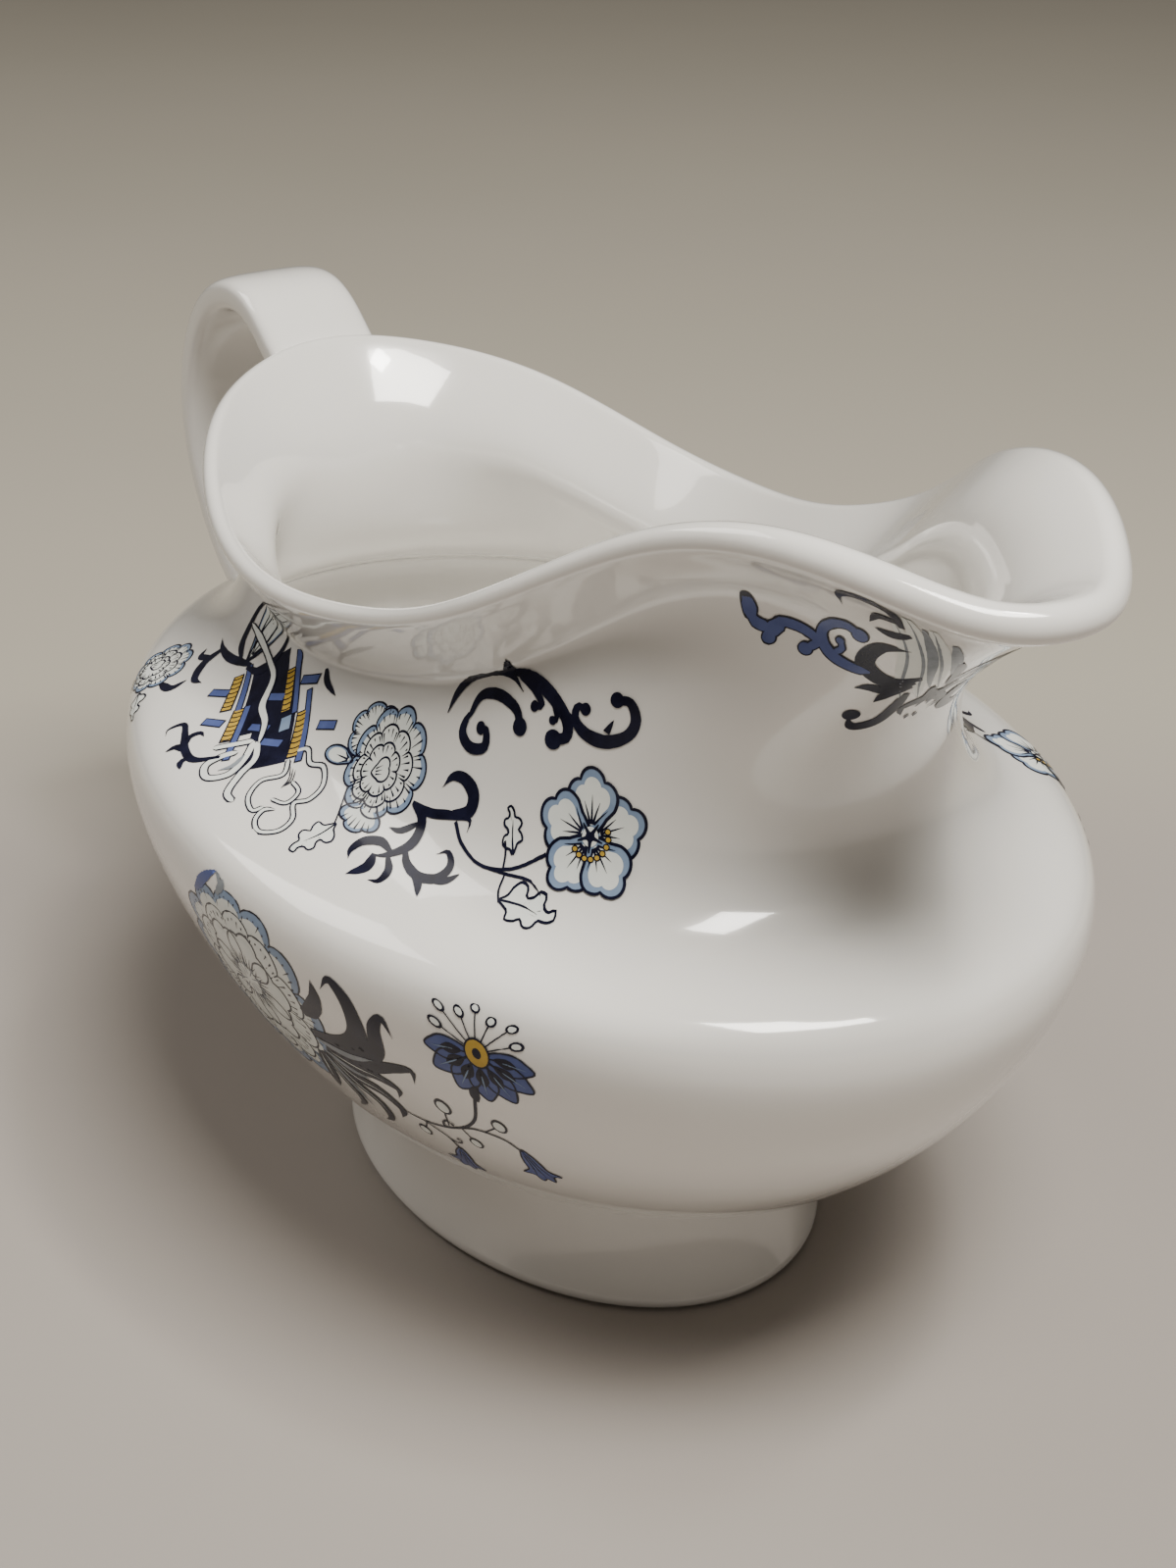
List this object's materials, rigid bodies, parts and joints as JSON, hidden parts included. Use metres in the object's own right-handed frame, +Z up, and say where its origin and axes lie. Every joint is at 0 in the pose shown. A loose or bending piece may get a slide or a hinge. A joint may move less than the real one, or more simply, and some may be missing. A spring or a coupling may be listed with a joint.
{
  "type": "porcelain cream jug",
  "caption": "Footed oval porcelain cream jug with a waisted neck, swept rim, long pouring lip, strap handle and blue floral decoration.",
  "frame": {"origin": "on the table plane, under the middle of the jug's overall length and width", "axes": "+X towards the pouring lip along the jug's length, +Y across its width, +Z up"},
  "size_m": [0.159, 0.0874, 0.0937],
  "materials": {
    "body_glaze": "glossy clear glaze over warm white porcelain",
    "foot_glaze": "glossy clear glaze over warm white porcelain",
    "handle_glaze": "glossy clear glaze over warm white porcelain",
    "slip_glaze": "glossy clear glaze over warm white porcelain"
  },
  "bodies": {
    "root": {"jug_body": "body_glaze", "oval_foot": "foot_glaze", "strap_handle": "handle_glaze", "handle_upper_slip": "slip_glaze", "handle_lower_slip": "slip_glaze", "foot_slip": "slip_glaze"}
  },
  "joints": []
}
